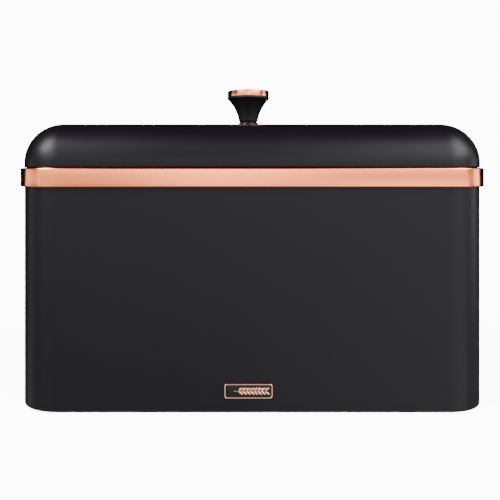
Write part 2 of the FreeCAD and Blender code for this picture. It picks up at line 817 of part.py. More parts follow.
def make_knob_screw():
    """Pan-head machine screw with a cross recess; its thread is left plain."""
    body = new_body("knob_screw", f"{LID_BASE} + {BOSS_TOP} - sheet_metal - washer_thickness")
    revolve(body, [
        ("0", "-screw_head_height"),
        ("screw_head_radius - screw_head_edge", "-screw_head_height", "screw_head_edge", 1),
        ("screw_head_radius", "screw_head_edge - screw_head_height"),
        ("screw_head_radius", "0"),
        ("screw_radius", "0"),
        ("screw_radius", "screw_length"),
        ("0", "screw_length"),
    ])
    drive = new_sketch(body, "drive_plan", offset="-screw_head_height")
    near, far = "drive_width / 2", "drive_length / 2"
    trace(drive, [
        (near, near), (near, far), (f"-{near}", far), (f"-{near}", near),
        (f"-{far}", near), (f"-{far}", f"-{near}"), (f"-{near}", f"-{near}"), (f"-{near}", f"-{far}"),
        (near, f"-{far}"), (near, f"-{near}"), (far, f"-{near}"), (far, near),
    ])
    pocket(body, drive, "drive_depth", "drive")
    return body


# ---------------------------------------------------------------------------------------------------
# Build, check and write
# ---------------------------------------------------------------------------------------------------

pieces = [
    make_body_shell(),
    make_base_pan(),
    make_rim_wire(),
    make_trim_band(),
    make_band_joiner(),
    make_band_rivets(),
    make_badge_pad(),
    make_badge_frame(),
    make_badge_enamel(),
    make_badge_wheat(),
]
for end, side_y in (("front", -1), ("back", 1)):
    for hand, side_x in (("left", -1), ("right", 1)):
        pieces.append(make_foot(f"foot_{end}_{hand}", side_x, side_y))
pieces += [
    make_lid_shell(),
    make_lid_ring(),
    make_knob_collar(),
    make_knob_grip(),
    make_knob_cap(),
    make_knob_insert(),
    make_knob_washer(),
    make_knob_screw(),
]
doc.recompute()

failed = [o.Name for o in doc.Objects if {"Invalid", "Error"} & set(o.State)]
if failed:
    raise RuntimeError(f"these objects failed: {failed}")
os.makedirs("parts", exist_ok=True)
for piece in pieces:
    shape = piece.Shape
    if shape.isNull() or not shape.isValid() or not shape.Solids:
        raise RuntimeError(f"{piece.Label} has no valid solid")
    shape.exportStep(f"parts/{piece.Label}.step")
    box = shape.BoundBox
    print(
        f"{piece.Label:18s} {len(shape.Solids)} solid(s)  volume {shape.Volume:10.1f}"
        f"  z {box.ZMin:7.2f} to {box.ZMax:7.2f}"
    )
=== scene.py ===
# %% [markdown]
# # A bread bin with a lift-off lid
#
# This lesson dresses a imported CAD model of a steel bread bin. The CAD model fixes every size and every
# moving part. Blender adds what the eye meets first: smooth pressings, rolled edges, a satin black powder
# coat and rose-gold trim.
#
# Everything is in metres, in the CAD model's own frame: X is the width, Y the depth with the front at -Y,
# and Z points up from the worktop.

# %% Load the frame
import math

import bmesh
import bpy
import numpy as np
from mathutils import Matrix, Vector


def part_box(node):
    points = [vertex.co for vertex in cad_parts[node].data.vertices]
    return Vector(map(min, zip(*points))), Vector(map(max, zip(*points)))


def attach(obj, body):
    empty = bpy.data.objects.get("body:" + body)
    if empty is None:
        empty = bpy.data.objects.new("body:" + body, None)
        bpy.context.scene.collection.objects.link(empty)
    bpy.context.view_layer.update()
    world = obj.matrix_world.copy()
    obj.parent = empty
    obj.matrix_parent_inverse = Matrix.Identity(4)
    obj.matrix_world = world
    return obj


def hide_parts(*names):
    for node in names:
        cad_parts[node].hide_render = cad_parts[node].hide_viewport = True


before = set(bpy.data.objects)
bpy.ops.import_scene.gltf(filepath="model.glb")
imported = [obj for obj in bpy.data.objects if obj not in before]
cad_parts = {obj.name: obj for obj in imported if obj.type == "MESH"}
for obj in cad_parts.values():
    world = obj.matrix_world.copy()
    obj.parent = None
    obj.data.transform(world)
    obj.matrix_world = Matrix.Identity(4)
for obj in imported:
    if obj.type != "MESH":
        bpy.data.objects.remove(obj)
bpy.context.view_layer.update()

# %% [markdown]
# ## Sizes that the pieces share
#
# Nearly every piece of the bin follows the same plan, a rectangle with round corners, a little larger or
# smaller. The plan and the levels are read from the CAD nodes' boxes, so the looks follow the CAD model. The
# few sizes that a box can't tell, such as the sheet's thickness, are written here once.

# %% Read the levels and the plan
MM = 0.001


def span(node):
    """The two corners of a CAD node's box, as arrays."""
    low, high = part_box(node)
    return np.array(low), np.array(high)


SHEET = 0.7 * MM  # steel of walls, pan and lid
PLAN_RADIUS = 30.0 * MM  # upright corners of the walls, outside
BAND_STANDOFF = 3.0 * MM  # band's face, out from the walls

band_low, band_high = span("trim_band")
HALF_WIDTH, HALF_DEPTH = band_high[0] - BAND_STANDOFF, band_high[1] - BAND_STANDOFF
HEM_LEVEL = span("body_shell")[0][2]
SHELL_TOP = span("body_shell")[1][2]
LID_BASE = span("lid_shell")[0][2]
BOSS_TOP = span("knob_collar")[0][2]
LID_OVERHANG = span("lid_shell")[1][0] - HALF_WIDTH
print(f"walls {2e3 * HALF_WIDTH:.1f} x {2e3 * HALF_DEPTH:.1f} mm, lid edge at {1e3 * LID_BASE:.1f} mm")

# %% [markdown]
# ## Surfaces from grids
#
# A smooth pressing is a surface with two parameters, so it is made as a grid of points. One direction goes
# round the plan, the other goes along the section. Numpy works out all points at once. The faces join each
# point to its neighbours, and the order of the corners decides which side is the outside.
#
# Every grid carries a UV map in metres: U is the way round and V the way along the section. Brushed metal
# needs that, because its scratches follow the strip round the corners.

# %% Turn a grid of points into a mesh
def grid_faces(rows, columns, wrap_rows, wrap_columns):
    """Quads (r, c), (r, c+1), (r+1, c+1), (r+1, c). Row and column numbers may run one past the end."""
    r, c = np.meshgrid(
        np.arange(rows if wrap_rows else rows - 1),
        np.arange(columns if wrap_columns else columns - 1),
        indexing="ij",
    )
    r, c = r.ravel(), c.ravel()
    return np.stack([r, r, r + 1, r + 1], 1), np.stack([c, c + 1, c + 1, c], 1)


def run_lengths(points, axis, wrap):
    """Distance travelled along one direction of the grid: each step is the longest one across the other
    direction, and a wrapped direction gets a last closing step."""
    if wrap:
        points = np.concatenate([points, np.take(points, [0], axis=axis)], axis=axis)
    steps = np.linalg.norm(np.diff(points, axis=axis), axis=2).max(axis=1 - axis)
    return np.concatenate([[0.0], np.cumsum(steps)])


def mesh_object(name, vertices, faces, corner_uvs, material):
    """Makes a mesh from arrays of vertices, faces of equal size and a UV pair for each face corner."""
    mesh = bpy.data.meshes.new(name)
    sides = faces.shape[1]
    mesh.vertices.add(len(vertices))
    mesh.vertices.foreach_set("co", vertices.astype(np.float32).ravel())
    mesh.loops.add(faces.size)
    mesh.loops.foreach_set("vertex_index", faces.astype(np.int32).ravel())
    mesh.polygons.add(len(faces))
    mesh.polygons.foreach_set("loop_start", np.arange(0, faces.size, sides, dtype=np.int32))
    mesh.polygons.foreach_set("loop_total", np.full(len(faces), sides, np.int32))
    mesh.polygons.foreach_set("use_smooth", np.full(len(faces), True))
    layer = mesh.uv_layers.new(name="run")
    layer.data.foreach_set("uv", corner_uvs.astype(np.float32).ravel())
    mesh.update(calc_edges=True)
    mesh.validate()
    mesh.materials.append(material)
    piece = bpy.data.objects.new(name, mesh)
    bpy.context.scene.collection.objects.link(piece)
    return piece


def grid_object(name, points, material, wrap_rows=False, wrap_columns=True, ends=False, report=True):
    """A mesh from points[row, column]. With ends, each open end of the run of columns gets a flat cap."""
    rows, columns = points.shape[:2]
    r, c = grid_faces(rows, columns, wrap_rows, wrap_columns)
    faces = (r % rows) * columns + c % columns
    u = run_lengths(points, 1, wrap_columns)
    v = run_lengths(points, 0, wrap_rows)
    uvs = np.stack([u[c], v[r]], 2)
    piece = mesh_object(name, points.reshape(-1, 3), faces, uvs, material)
    merge_and_cap(piece, ends)
    if report:
        print(f"{name}: {len(piece.data.polygons)} faces")
    return piece


def merge_and_cap(piece, ends):
    """Closes poles by merging points that coincide, and fills the open ends of a strip."""
    bm = bmesh.new()
    bm.from_mesh(piece.data)
    bmesh.ops.remove_doubles(bm, verts=bm.verts, dist=1e-7)
    if ends:
        rim = [e for e in bm.edges if e.is_boundary]
        bmesh.ops.holes_fill(bm, edges=rim, sides=0)
    bm.to_mesh(piece.data)
    bm.free()

# %% [markdown]
# ## The plan, and sections carried round it
#
# Stations are placed round the plan once. Each station knows a place on the rectangle of corner centres and
# the direction that points outward there. Any plan of the bin is then one line of arithmetic: the corner
# centres, pushed out by the corner radius. Because all plans share their stations, a section that grows and
# shrinks, such as a rolled rim, is a set of plans stacked in order.

# %% Stations round a rectangle with round corners
def make_stations(per_corner, side_x, side_y):
    """Stations anticlockwise from the middle of the back. side_x and side_y are rising fractions from -1 to
    1 along the long and short sides. Returns corner mixes (n, 2) and outward directions (n, 2)."""
    turn = np.linspace(0, math.pi / 2, per_corner)

    def corner(sx, sy, start):
        angles = start + turn
        return np.tile([sx, sy], (per_corner, 1)), np.stack([np.cos(angles), np.sin(angles)], 1)

    def side(fractions, along_x, sign):
        other = np.full(len(fractions), sign)
        mix = np.stack([fractions, other] if along_x else [other, fractions], 1)
        out = np.tile([0.0, sign] if along_x else [sign, 0.0], (len(fractions), 1))
        return mix, out

    half = side_x[side_x <= 0]
    parts = [
        side(half[::-1], True, 1.0),
        corner(-1.0, 1.0, math.pi / 2),
        side(side_y[::-1], False, -1.0),
        corner(-1.0, -1.0, math.pi),
        side(side_x, True, -1.0),
        corner(1.0, -1.0, 3 * math.pi / 2),
        side(side_y, False, 1.0),
        corner(1.0, 1.0, 0.0),
        side(side_x[side_x > 0][::-1], True, 1.0),
    ]
    return np.concatenate([p[0] for p in parts]), np.concatenate([p[1] for p in parts])


def plan(stations, half_width, half_depth, radius):
    """Corner centres times the stations' mixes, plus the outward directions times the radius. The sizes may
    be arrays with one entry per row of the grid."""
    mix, out = stations
    half_width, half_depth, radius = (np.atleast_1d(v)[:, None] for v in (half_width, half_depth, radius))
    x = mix[:, 0] * (half_width - radius) + out[:, 0] * radius
    y = mix[:, 1] * (half_depth - radius) + out[:, 1] * radius
    return np.stack([x, y], 2)


def stack(flat, z):
    """Plans (rows, stations, 2) at heights z (rows) or (rows, stations), as points in space."""
    z = np.broadcast_to(np.reshape(z, (len(flat), -1)), flat.shape[:2])
    return np.concatenate([flat, z[..., None]], 2)


def round_the_bin(stations, section):
    """Carries a section, rows of (distance out from the walls, height), round the plan of the bin."""
    grow, z = np.asarray(section).T
    return stack(plan(stations, HALF_WIDTH + grow, HALF_DEPTH + grow, PLAN_RADIUS + grow), z)


SEAM_HALF = 0.25 * MM
along_long_side = np.linspace(-1, 1, 45)[1:-1]
along_short_side = np.linspace(-1, 1, 27)[1:-1]
seam_places = np.array([-1.6, -1.0, 1.0, 1.6]) * SEAM_HALF / (HALF_WIDTH - PLAN_RADIUS)
STATIONS = make_stations(
    33, np.unique(np.concatenate([along_long_side[along_long_side != 0], seam_places])), along_short_side
)
print("stations round the plan:", len(STATIONS[0]))

# %% [markdown]
# ## Sections with rounded corners
#
# No edge of a real object is perfectly sharp, and it is the small radii that catch the light. A section is
# written as a list of corners with a radius each, and one helper replaces every corner with an arc that is
# tangent to both of its sides.

# %% Round the corners of a section
def rounded(corners, steps=7, closed=True):
    """Corners (x, y, radius). The arc at a corner starts at radius x tan(turn / 2) from it, and its centre
    lies on the bisector of the corner."""
    points = np.array([c[:2] for c in corners], float)
    made = []
    for i, (x, y, radius) in enumerate(corners):
        here = np.array([x, y], float)
        if radius == 0 or (not closed and i in (0, len(corners) - 1)):
            made.append(here[None])
            continue
        back = points[i - 1] - here
        ahead = points[(i + 1) % len(corners)] - here
        back, ahead = back / np.linalg.norm(back), ahead / np.linalg.norm(ahead)
        half_angle = math.acos(np.clip(back @ ahead, -1, 1)) / 2
        bisector = (back + ahead) / np.linalg.norm(back + ahead)
        centre = here + bisector * radius / math.sin(half_angle)
        start = here + back * radius / math.tan(half_angle) - centre
        stop = here + ahead * radius / math.tan(half_angle) - centre
        a0, a1 = math.atan2(start[1], start[0]), math.atan2(stop[1], stop[0])
        turn = (a1 - a0 + math.pi) % (2 * math.pi) - math.pi
        angles = a0 + np.linspace(0, turn, steps)
        made.append(centre + radius * np.stack([np.cos(angles), np.sin(angles)], 1))
    return np.concatenate(made)


def arc(cx, cy, radius, start_deg, stop_deg, steps):
    """Points of a circular arc."""
    a = np.radians(np.linspace(start_deg, stop_deg, steps))
    return np.stack([cx + radius * np.cos(a), cy + radius * np.sin(a)], 1)


def turned(name, section, material, around=128, centre=(0.0, 0.0)):
    """Turns a section, rows of (radius, height), about an upright axis: x = r cos a, y = r sin a."""
    a = np.linspace(0, 2 * math.pi, around, endpoint=False)
    r, z = np.asarray(section).T
    x = centre[0] + r[:, None] * np.cos(a)
    y = centre[1] + r[:, None] * np.sin(a)
    return grid_object(name, np.stack([x, y, np.repeat(z[:, None], around, 1)], 2), material)

# %% [markdown]
# ## Materials
#
# The bin has two finishes that matter. The black is a satin powder coat: a film of plastic that melts and
# flows in the oven, which leaves a faint ripple called orange peel. The trim is steel with a rose-gold
# plating, drawn through rolls, so it has very fine scratches along its length.
#
# The patterns are noise on Object coordinates for the coat, and on the UV map for the trim.

# %% Helpers for node materials
def new_material(name, **sockets):
    """A material with one Principled shader, whose sockets are set by name."""
    material = bpy.data.materials.new(name)
    material.use_nodes = True
    shader = material.node_tree.nodes["Principled BSDF"]
    for socket, value in sockets.items():
        shader.inputs[socket.replace("_", " ")].default_value = value
    return material, material.node_tree, shader


def node(tree, kind, **values):
    """Adds a node. Values that name an input are set there, and the others are set on the node."""
    made = tree.nodes.new(kind)
    for key, value in values.items():
        if key in made.inputs:
            made.inputs[key].default_value = value
        else:
            setattr(made, key, value)
    return made


def coordinates(tree, source, scale):
    """A coordinate output, stretched by a scale for each axis."""
    where = node(tree, "ShaderNodeTexCoord")
    stretch = node(tree, "ShaderNodeMapping", Scale=scale)
    tree.links.new(where.outputs[source], stretch.inputs["Vector"])
    return stretch.outputs["Vector"]


def noise(tree, vector, scale, detail=2.0, rough=0.5):
    """Noise from 0 to 1, with about scale waves to the metre."""
    made = node(tree, "ShaderNodeTexNoise", Scale=scale, Detail=detail, Roughness=rough)
    tree.links.new(vector, made.inputs["Vector"])
    return made.outputs["Fac"]


def spread(tree, value, low, high, start=0.3, stop=0.7):
    """Stretches a value from the range start to stop onto the range low to high."""
    made = node(tree, "ShaderNodeMapRange")
    for socket, number in (("From Min", start), ("From Max", stop), ("To Min", low), ("To Max", high)):
        made.inputs[socket].default_value = number
    tree.links.new(value, made.inputs["Value"])
    return made.outputs["Result"]


def blend_colours(tree, factor, first, second):
    """(1 - factor) x the first colour + factor x the second."""
    made = node(tree, "ShaderNodeMix", data_type="RGBA")
    made.inputs[6].default_value = (*first, 1)
    made.inputs[7].default_value = (*second, 1)
    tree.links.new(factor, made.inputs[0])
    return made.outputs[2]


def bump(tree, shader, height, distance, strength):
    """Tilts the shading as if the surface stood up by height x distance."""
    made = node(tree, "ShaderNodeBump", Distance=distance, Strength=strength)
    tree.links.new(height, made.inputs["Height"])
    tree.links.new(made.outputs["Normal"], shader.inputs["Normal"])

# %% [markdown]
# The powder coat is nearly black and half matt. Three noises of different sizes give it slow changes in
# roughness, a faint grain in colour and the ripple in height.

# %% Satin black powder coat
def powder_coat(name, dark, light, rough_low, rough_high, specular):
    """Colour runs from dark to light with the grain, and roughness from low to high with the clouds."""
    material, tree, shader = new_material(name, IOR=1.5)
    shader.inputs["Specular IOR Level"].default_value = specular
    where = coordinates(tree, "Object", (1, 1, 1))
    cloud = noise(tree, where, 14.0, 3.0)
    grain = noise(tree, where, 1400.0, 2.0)
    peel = noise(tree, where, 650.0, 1.0)
    tree.links.new(blend_colours(tree, grain, dark, light), shader.inputs["Base Color"])
    tree.links.new(spread(tree, cloud, rough_low, rough_high), shader.inputs["Roughness"])
    bump(tree, shader, peel, 0.00003, 0.5)
    return material


coat = powder_coat(
    "satin_black_coat", dark=(0.0014, 0.0010, 0.0019), light=(0.0022, 0.0017, 0.0029),
    rough_low=0.36, rough_high=0.40, specular=0.14,
)

# %% [markdown]
# Plated steel mirrors the room, so it is a full metal whose colour tints what it mirrors. Its scratches are
# noise on the UV map, with few waves along the strip and very many across it. The cast metal of the badge
# is the same with a darker and duller skin.

# %% Rose-gold plated trim
SCRATCHES = (60.0, 5200.0, 1.0)  # waves to the metre along U and V


def plated(name, colour, second_colour, rough_low, rough_high):
    """A metal whose roughness and height follow the scratches."""
    material, tree, shader = new_material(name, Metallic=1.0)
    where = coordinates(tree, "UV", SCRATCHES)
    scratch = noise(tree, where, 1.0, 4.0, 0.65)
    soft = noise(tree, coordinates(tree, "Object", (1, 1, 1)), 25.0, 2.0)
    tree.links.new(blend_colours(tree, soft, colour, second_colour), shader.inputs["Base Color"])
    tree.links.new(spread(tree, scratch, rough_low, rough_high), shader.inputs["Roughness"])
    bump(tree, shader, scratch, 0.000004, 0.35)
    return material


rose = plated("rose_gold_band", (0.95, 0.25, 0.105), (0.92, 0.235, 0.095), 0.13, 0.17)
rose_turned = plated("rose_gold_turned", (0.95, 0.28, 0.14), (0.92, 0.26, 0.13), 0.13, 0.18)
rose_cast = plated("rose_gold_cast", (0.55, 0.27, 0.19), (0.50, 0.24, 0.17), 0.24, 0.30)

# %% [markdown]
# The small parts are moulded plastic and rubber, enamel, zinc-plated steel and brass. Two helpers are
# enough: one gives a fine even grain, the other soft cloudy patches.

# %% Other finishes
def moulded(name, colour, second_colour, rough_low, rough_high, grain_size, depth, specular):
    """Plastic or rubber from a mould: a fine even grain in height and a little in colour."""
    material, tree, shader = new_material(name, IOR=1.48)
    shader.inputs["Specular IOR Level"].default_value = specular
    where = coordinates(tree, "Object", (1, 1, 1))
    grain = noise(tree, where, 1.0 / grain_size, 2.0)
    tree.links.new(blend_colours(tree, grain, colour, second_colour), shader.inputs["Base Color"])
    tree.links.new(spread(tree, grain, rough_low, rough_high), shader.inputs["Roughness"])
    bump(tree, shader, grain, depth, 0.5)
    return material


def bare_metal(name, colour, second_colour, rough_low, rough_high, spangle):
    """Zinc or brass: a metal with soft cloudy patches of colour and shine."""
    material, tree, shader = new_material(name, Metallic=1.0)
    where = coordinates(tree, "Object", (1, 1, 1))
    cloud = noise(tree, where, 1.0 / spangle, 3.0)
    fine = noise(tree, where, 4000.0, 2.0)
    tree.links.new(blend_colours(tree, cloud, colour, second_colour), shader.inputs["Base Color"])
    tree.links.new(spread(tree, cloud, rough_low, rough_high), shader.inputs["Roughness"])
    bump(tree, shader, fine, 0.000004, 0.4)
    return material


grip_black = moulded(
    "satin_black_grip", (0.004, 0.004, 0.004), (0.006, 0.006, 0.006), 0.30, 0.38, 0.0006, 8e-6, 0.2
)
rubber = moulded("black_rubber", (0.012, 0.012, 0.012), (0.020, 0.020, 0.020), 0.6, 0.75, 0.0005, 3e-5, 0.3)
foam = moulded("foam_tape", (0.03, 0.03, 0.03), (0.05, 0.05, 0.05), 0.8, 0.9, 0.0004, 6e-5, 0.2)
enamel = moulded("black_enamel", (0.004, 0.004, 0.004), (0.006, 0.006, 0.006), 0.16, 0.22, 0.004, 1e-5, 0.15)
zinc = bare_metal("zinc_plate", (0.60, 0.61, 0.63), (0.72, 0.73, 0.74), 0.28, 0.42, 0.006)
brass = bare_metal("brass", (0.80, 0.60, 0.28), (0.70, 0.50, 0.22), 0.22, 0.34, 0.004)
print("materials:", [m.name for m in bpy.data.materials])

# %% [markdown]
# ## Walls
#
# The walls of a real bin start as one strip of sheet steel. Rolls curl its upper edge outward into a bead,
# the strip is bent round a former, and its ends are joined at the back. The bottom edge is folded inward
# into a hem that grips the pan. One section shows all of that: up the outside, round the bead, down the
# inside and through the hem. Carried round the plan, it gives a closed shell with a real thickness.

# %% Walls with a rolled rim and a hem
BEAD_RADIUS = 1.5 * MM
HEM_TOP = HEM_LEVEL + 5.0 * MM
HEM_TURN = 1.1 * MM  # radius of the fold at the bottom edge
HEM_FACE, HEM_BACK = 1.5 * MM, 2.2 * MM  # the two faces of the folded leg, in from the outside
HEM_CHAMFER = 0.5 * MM
HEM_SLOT = 4.3 * MM  # depth of the slot that takes the pan's skirt
SEAM_DEPTH = 0.3 * MM
bead_middle = SHELL_TOP - BEAD_RADIUS
bead_out = BEAD_RADIUS - SHEET


def wall_section():
    """Outside wall, bead as two arcs round its wire, inside wall, hem. Rows of (out, height)."""
    outside = np.array([[0.0, z] for z in np.linspace(HEM_LEVEL + 2 * MM, bead_middle - 2.2 * MM, 24)])
    roll = arc(bead_out, bead_middle, BEAD_RADIUS, -112, 180, 44)
    bore = arc(bead_out, bead_middle, BEAD_RADIUS - SHEET, 180, -130, 28)
    inside = np.array([[-SHEET, z] for z in np.linspace(bead_middle - 1 * MM, HEM_TOP - HEM_SLOT, 24)])
    inner_leg = [
        (-HEM_FACE, HEM_TOP - HEM_SLOT),
        (-HEM_FACE, HEM_TOP),
        (-HEM_BACK, HEM_TOP),
        (-HEM_BACK, HEM_LEVEL + HEM_CHAMFER),
        (-HEM_BACK + HEM_CHAMFER, HEM_LEVEL),
    ]
    edge = arc(-HEM_TURN, HEM_LEVEL + HEM_TURN, HEM_TURN, 270, 360, 9)
    return np.concatenate([outside, bore[::-1], roll, inside, inner_leg, edge])


section = wall_section()
walls_grid = round_the_bin(STATIONS, section)
outer_rows = (section[:, 0] > -1e-6) & (section[:, 1] < bead_middle - 2 * MM)
in_seam = (np.abs(walls_grid[0, :, 0]) < 1.2 * SEAM_HALF) & (walls_grid[0, :, 1] > 0)
walls_grid[np.ix_(outer_rows, in_seam, [1])] -= SEAM_DEPTH
walls = grid_object("walls", walls_grid, coat, wrap_rows=True)
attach(walls, "bin")
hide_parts("body_shell")

# %% [markdown]
# ## Trim band
#
# The band is a shallow channel, rolled from a plated strip. Its face is flat, and its two long edges are
# rounded so that they catch the light. It starts and ends in the middle of the back, so its run of stations
# is left open there and both ends are capped.

# %% Channel carried round the rim
BAND_SHEET = 0.6 * MM
EDGE_RADIUS = 1.1 * MM
JOINT_HALF = 0.25 * MM
outer, inner = BAND_STANDOFF, BAND_STANDOFF - BAND_SHEET
z0, z1 = band_low[2], band_high[2]
fine = 0.12 * MM
band_section = rounded([
    (0.1 * MM, z0, fine), (outer, z0, EDGE_RADIUS), (outer, z1, EDGE_RADIUS), (-0.5 * MM, z1, fine),
    (-0.5 * MM, z1 - BAND_SHEET, fine), (inner, z1 - BAND_SHEET, 0.5 * MM),
    (inner, z0 + BAND_SHEET, 0.5 * MM), (0.1 * MM, z0 + BAND_SHEET, fine),
], steps=10)
mix, out = STATIONS
ends_at = JOINT_HALF / (HALF_WIDTH - PLAN_RADIUS)
keep = ~((np.abs(mix[:, 0]) < 1.5 * ends_at) & (mix[:, 1] > 0.99))
first, last = np.array([[-ends_at, 1.0]]), np.array([[ends_at, 1.0]])
up = np.array([[0.0, 1.0]])
band_stations = np.concatenate([first, mix[keep], last]), np.concatenate([up, out[keep], up])
band = grid_object(
    "band", round_the_bin(band_stations, band_section), rose, wrap_rows=True, wrap_columns=False, ends=True
)
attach(band, "bin")
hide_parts("trim_band")

# %% [markdown]
# ## Pan
#
# The floor of the bin is a pressed pan. Its middle is raised a little, which stiffens the thin sheet. The
# raised panel has tighter corners than the walls, so these rows change the plan's corner radius too.

# %% Pressed pan with a raised middle
pan_low, pan_high = span("base_pan")
PANEL_MARGIN = 34.0 * MM
PANEL_RISE = 1.5 * MM
PANEL_RADIUS = 14.0 * MM
PANEL_RAMP = 1.6 * MM  # width of the slope round the raised middle
PAN_BEND = 1.05 * MM
PAN_GAP = 0.05 * MM  # between the skirt and the walls
floor_top = pan_high[2] - PANEL_RISE
REACH = np.arctan2(*plan(STATIONS, HALF_WIDTH, HALF_DEPTH, PLAN_RADIUS)[0].T[::-1])


def circles(radii):
    """Circles at the stations' own bearings, which lets a plan change into round rings without a twist."""
    return np.atleast_1d(radii)[:, None, None] * np.stack([np.cos(REACH), np.sin(REACH)], 1)


def plan_rows(rows):
    """Plans from rows of (half width, half depth, corner radius)."""
    w, d, r = np.asarray(rows).T
    return plan(STATIONS, w, d, r)


def pan_rows(lift, inset):
    """Half of the pan, from its middle to the skirt: (plans, heights)."""
    w, d = HALF_WIDTH - PANEL_MARGIN - inset, HALF_DEPTH - PANEL_MARGIN - inset
    r = PANEL_RADIUS - inset
    centre = plan_rows([(w * k, d * k, r * k) for k in (0.0, 0.2, 0.5, 0.8)])
    ease = np.linspace(0, 1, 9)
    slope = (1 - np.cos(math.pi * ease)) / 2
    step = plan_rows([(w - PANEL_RAMP + PANEL_RAMP * e, d - PANEL_RAMP + PANEL_RAMP * e, r) for e in ease])
    skirt = HALF_WIDTH - SHEET - PAN_GAP - inset, HALF_DEPTH - SHEET - PAN_GAP - inset
    bend_radius = PAN_BEND - inset
    bend = arc(-bend_radius, -bend_radius, bend_radius, 90, 0, 7)
    out_r = PLAN_RADIUS - SHEET - PAN_GAP - inset
    flange = plan_rows([(skirt[0] + o, skirt[1] + o, out_r + o) for o in bend[:, 0]])
    foot = plan_rows([(skirt[0], skirt[1], out_r)])
    flats = np.concatenate([centre, step, flange, foot])
    heights = np.concatenate([
        np.full(4, floor_top + PANEL_RISE),
        floor_top + PANEL_RISE * (1 - slope),
        floor_top + bend[:, 1],
        [pan_low[2]],
    ]) - lift
    heights[-1] = pan_low[2]
    return stack(flats, heights)


top_side = pan_rows(0.0, 0.0)[::-1]
under_side = pan_rows(SHEET, SHEET)
pan = grid_object("pan", np.concatenate([under_side, top_side]), coat)
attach(pan, "bin")
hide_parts("base_pan")

# %% [markdown]
# ## Feet
#
# Four rubber discs are stuck under the pan. A turned section with soft edges is enough, since only their
# lowest millimetre and a half shows.

# %% Rubber feet
FOOT_DRAFT = 0.5 * MM


def foot(name, cad_node):
    """A disc with a slight taper, rounded at the bottom."""
    low, high = span(cad_node)
    middle = (low + high) / 2
    top_radius = (high[0] - low[0]) / 2
    section = rounded([
        (0, low[2], 0), (top_radius - FOOT_DRAFT, low[2], 1.2 * MM), (top_radius, high[2], 0.3 * MM),
        (0, high[2], 0),
    ], closed=False)
    piece = turned(name, section, rubber, 48, middle[:2])
    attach(piece, "bin")
    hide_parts(cad_node)


for corner_name in ("front_left", "front_right", "back_left", "back_right"):
    foot(f"rubber_foot_{corner_name}", f"foot_{corner_name}")

# %% [markdown]
# ## Badge
#
# The badge is a small cast tray, stuck low on the front wall. Its rim is bare rose gold, its floor is filled
# with black enamel, and an ear of wheat stands up out of the enamel. It lies in the plane of the front wall,
# so its plan is drawn in X and Z and pushed out along -Y.

# %% Tray and enamel
frame_low, frame_high = span("badge_frame")
fill_low, fill_high = span("badge_enamel")
badge_x, _, badge_z = (frame_low + frame_high) / 2
badge_half = (frame_high[0] - frame_low[0]) / 2, (frame_high[2] - frame_low[2]) / 2
BADGE_CORNER = 1.9 * MM
BADGE_BORDER = 0.9 * MM
small_stations = make_stations(12, np.linspace(-1, 1, 9)[1:-1], np.linspace(-1, 1, 5)[1:-1])


def on_front(flat, forward):
    """Takes plans drawn on X and Z to the front wall; forward is the distance out from Y = 0."""
    points = stack(flat, forward)
    x, z, out_y = points[..., 0], points[..., 1], points[..., 2]
    return np.stack([x + badge_x, -out_y, z + badge_z], 2)


def badge_grid(section):
    """Carries rows of (distance in from the rim, distance forward) round the badge. The last row closes to a
    line along the middle."""
    inset, forward = np.asarray(section).T
    w, h = badge_half[0] - inset, badge_half[1] - inset
    corner = np.maximum(BADGE_CORNER - inset, 0.0)
    return on_front(plan(small_stations, w, h, corner), forward)


back, front = -frame_high[1], -frame_low[1]
floor = -fill_high[1]
enamel_face = -fill_low[1]
half_height = badge_half[1]
tray_section = rounded([
    (half_height, back, 0), (0, back, 0.15 * MM), (0, front, 0.3 * MM), (BADGE_BORDER, front, 0.3 * MM),
    (BADGE_BORDER, floor, 0.05 * MM), (half_height, floor, 0),
], closed=False)
tray = grid_object("badge_tray", badge_grid(tray_section), rose_cast)
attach(tray, "bin")
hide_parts("badge_frame")

fill_inset = BADGE_BORDER + 0.05 * MM
fill_section = rounded([
    (half_height, floor, 0), (fill_inset, floor, 0.02 * MM), (fill_inset, enamel_face, 0.08 * MM),
    (half_height, enamel_face, 0),
], closed=False)
fill = grid_object("badge_fill", badge_grid(fill_section), enamel)
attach(fill, "bin")
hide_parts("badge_enamel")

# %% [markdown]
# The ear of wheat is a row of grains in pairs along a stem. A grain is a drop with pointed ends: its width
# and its height both follow a softened sine along its length, and its cross-section is half a circle.

# %% Ear of wheat
ear_low, ear_high = span("badge_wheat")
GRAIN_LENGTH, GRAIN_WIDTH, GRAIN_TILT, GRAIN_PITCH = 4.4 * MM, 1.4 * MM, 36.0, 2.7 * MM
GRAIN_PAIRS = 8
GRAIN_FULLNESS = 0.8  # below 1, the ends are blunter than a sine's
GRAIN_ROOT = 0.2  # how far a grain reaches down, as a share of its height
STEM_LENGTH, STEM_WIDTH = 24.0 * MM, 0.5 * MM
EAR_HEIGHT = ear_high[1] - ear_low[1]


def grain(start, tilt_deg):
    """Points (along, across): along runs from 0 to the length, across is a half circle whose radius is
    sin(pi t) to the power of the fullness. Returned in badge coordinates x, up, forward."""
    t = np.linspace(0, 1, 15)[:, None]
    a = np.linspace(0, 2 * math.pi, 16, endpoint=False)[None]
    swell = np.sin(math.pi * t) ** GRAIN_FULLNESS
    along = GRAIN_LENGTH * t + 0 * a
    across = GRAIN_WIDTH / 2 * swell * np.cos(a)
    proud = EAR_HEIGHT * swell * np.maximum(np.sin(a), -GRAIN_ROOT)
    tilt = math.radians(tilt_deg)
    x = start + along * math.cos(tilt) - across * math.sin(tilt)
    up = along * math.sin(tilt) + across * math.cos(tilt)
    return np.stack([x, up, proud], 2)


